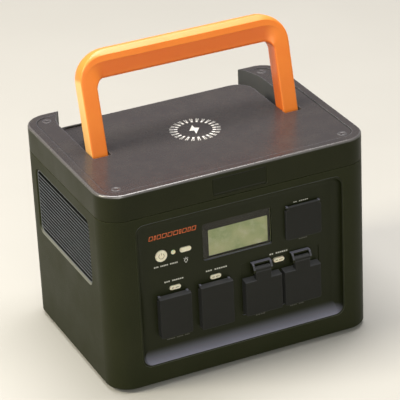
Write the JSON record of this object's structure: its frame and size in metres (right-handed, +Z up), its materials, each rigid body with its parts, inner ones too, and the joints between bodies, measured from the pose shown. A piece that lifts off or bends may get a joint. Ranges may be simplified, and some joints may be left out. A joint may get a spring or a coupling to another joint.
{
  "type": "portable power station",
  "caption": "Portable power station with a folding carry handle, a recessed front panel with display, buttons and covered outlets, side vents and a flat charging top.",
  "frame": {"origin": "centre of the footprint on the surface that the feet rest on", "axes": "+X to the right seen from the front panel, +Y to the rear, +Z up"},
  "size_m": [0.33, 0.245, 0.362],
  "materials": {
    "housing_plastic": "fine spark-eroded matte texture",
    "lid_plastic": "fine matte texture, slightly satin",
    "panel_plastic": "smooth matte",
    "grille_plastic": "matte",
    "handle_orange": "smooth satin, moulded",
    "cover_rubber": "soft matte",
    "foot_rubber": "matte",
    "button_cream": "satin",
    "steel": "zinc plated",
    "bronze": "plain",
    "washer_nylon": "plain",
    "display_window": "polished",
    "display_glass": "grey-green liquid crystal, off",
    "lamp_diffuser": "clear, polished",
    "socket_plastic": "smooth",
    "circuit_board": "solder mask",
    "inner_plastic": "plain",
    "cell_can": "shrink sleeve",
    "nickel": "plain",
    "heat_sink_aluminium": "extruded",
    "ferrite": "wound ferrite",
    "copper": "enamelled"
  },
  "bodies": {
    "station": {"lower_housing": "housing_plastic", "base_plate": "housing_plastic", "foot_front_left": "foot_rubber", "foot_front_right": "foot_rubber", "foot_rear_left": "foot_rubber", "foot_rear_right": "foot_rubber", "vent_grille_left": "grille_plastic", "vent_grille_right": "grille_plastic", "fan_frame_left": "inner_plastic", "fan_frame_right": "inner_plastic", "handle_pin_left": "steel", "handle_pin_right": "steel", "base_screws": "steel", "top_cover": "lid_plastic", "lid_screws": "steel", "lid_screw_plugs": "lid_plastic", "handle_washers": "washer_nylon", "front_panel": "panel_plastic", "lcd_window": "display_window", "lcd_module": "display_glass", "lamp_lens": "lamp_diffuser", "control_board": "circuit_board", "cover_hinge_pins": "steel", "usb_port_block": "socket_plastic", "dc_port_block": "socket_plastic", "input_port_block": "socket_plastic", "ac_socket_left": "socket_plastic", "ac_socket_right": "socket_plastic", "battery_cells": "cell_can", "cell_holder_lower": "inner_plastic", "cell_holder_upper": "inner_plastic", "bus_bars": "nickel", "battery_board": "circuit_board", "internal_shelf": "inner_plastic", "inverter_board": "circuit_board", "inverter_heat_sink": "heat_sink_aluminium", "inverter_transformer": "ferrite", "filter_choke": "ferrite", "inverter_capacitors": "cell_can", "charging_coil": "copper", "charging_board": "circuit_board"},
    "handle": {"handle": "handle_orange", "handle_bush_left": "bronze", "handle_bush_right": "bronze"},
    "power_button": {"power_button": "button_cream"},
    "light_button": {"light_button": "button_cream"},
    "usb_button": {"usb_button": "button_cream"},
    "dc_button": {"dc_button": "button_cream"},
    "ac_button": {"ac_button": "button_cream"},
    "usb_cover": {"usb_cover": "cover_rubber"},
    "dc_cover": {"dc_cover": "cover_rubber"},
    "input_cover": {"input_cover": "cover_rubber"},
    "ac_cover_left": {"ac_cover_left": "cover_rubber"},
    "ac_cover_right": {"ac_cover_right": "cover_rubber"},
    "fan_rotor_left": {"fan_rotor_left": "inner_plastic"},
    "fan_rotor_right": {"fan_rotor_right": "inner_plastic"}
  },
  "joints": [
    {"name": "handle_fold", "type": "hinge", "parent": "station", "child": "handle", "pos_m": [0, -0.005, 0.2375], "axis": [1, 0, 0], "range_deg": [-76.5, 13.5]},
    {"name": "power_press", "type": "slide", "parent": "station", "child": "power_button", "axis": [0, 1, 0], "range_m": [0, 0.0012], "stiffness_N_per_m": 1200, "springref_m": -0.0006},
    {"name": "light_press", "type": "slide", "parent": "station", "child": "light_button", "axis": [0, 1, 0], "range_m": [0, 0.0012], "stiffness_N_per_m": 1200, "springref_m": -0.0006},
    {"name": "usb_press", "type": "slide", "parent": "station", "child": "usb_button", "axis": [0, 1, 0], "range_m": [0, 0.0012], "stiffness_N_per_m": 1200, "springref_m": -0.0006},
    {"name": "dc_press", "type": "slide", "parent": "station", "child": "dc_button", "axis": [0, 1, 0], "range_m": [0, 0.0012], "stiffness_N_per_m": 1200, "springref_m": -0.0006},
    {"name": "ac_press", "type": "slide", "parent": "station", "child": "ac_button", "axis": [0, 1, 0], "range_m": [0, 0.0012], "stiffness_N_per_m": 1200, "springref_m": -0.0006},
    {"name": "usb_cover_hinge", "type": "hinge", "parent": "station", "child": "usb_cover", "pos_m": [-0.0841, -0.1136, 0.1074], "axis": [-1, 0, 0], "range_deg": [0, 80]},
    {"name": "dc_cover_hinge", "type": "hinge", "parent": "station", "child": "dc_cover", "pos_m": [-0.0323, -0.1136, 0.1086], "axis": [-1, 0, 0], "range_deg": [0, 80]},
    {"name": "input_cover_hinge", "type": "hinge", "parent": "station", "child": "input_cover", "pos_m": [0.0818, -0.1136, 0.179], "axis": [-1, 0, 0], "range_deg": [0, 80]},
    {"name": "ac_cover_left_hinge", "type": "hinge", "parent": "station", "child": "ac_cover_left", "pos_m": [0.0266, -0.116, 0.1123], "axis": [-1, 0, 0], "range_deg": [0, 100]},
    {"name": "ac_cover_right_hinge", "type": "hinge", "parent": "station", "child": "ac_cover_right", "pos_m": [0.0768, -0.116, 0.1123], "axis": [-1, 0, 0], "range_deg": [0, 100]},
    {"name": "fan_spin_left", "type": "hinge", "parent": "station", "child": "fan_rotor_left", "pos_m": [-0.1514, 0.005, 0.1625], "axis": [1, 0, 0], "continuous": true},
    {"name": "fan_spin_right", "type": "hinge", "parent": "station", "child": "fan_rotor_right", "pos_m": [0.1514, 0.005, 0.1625], "axis": [1, 0, 0], "continuous": true}
  ]
}
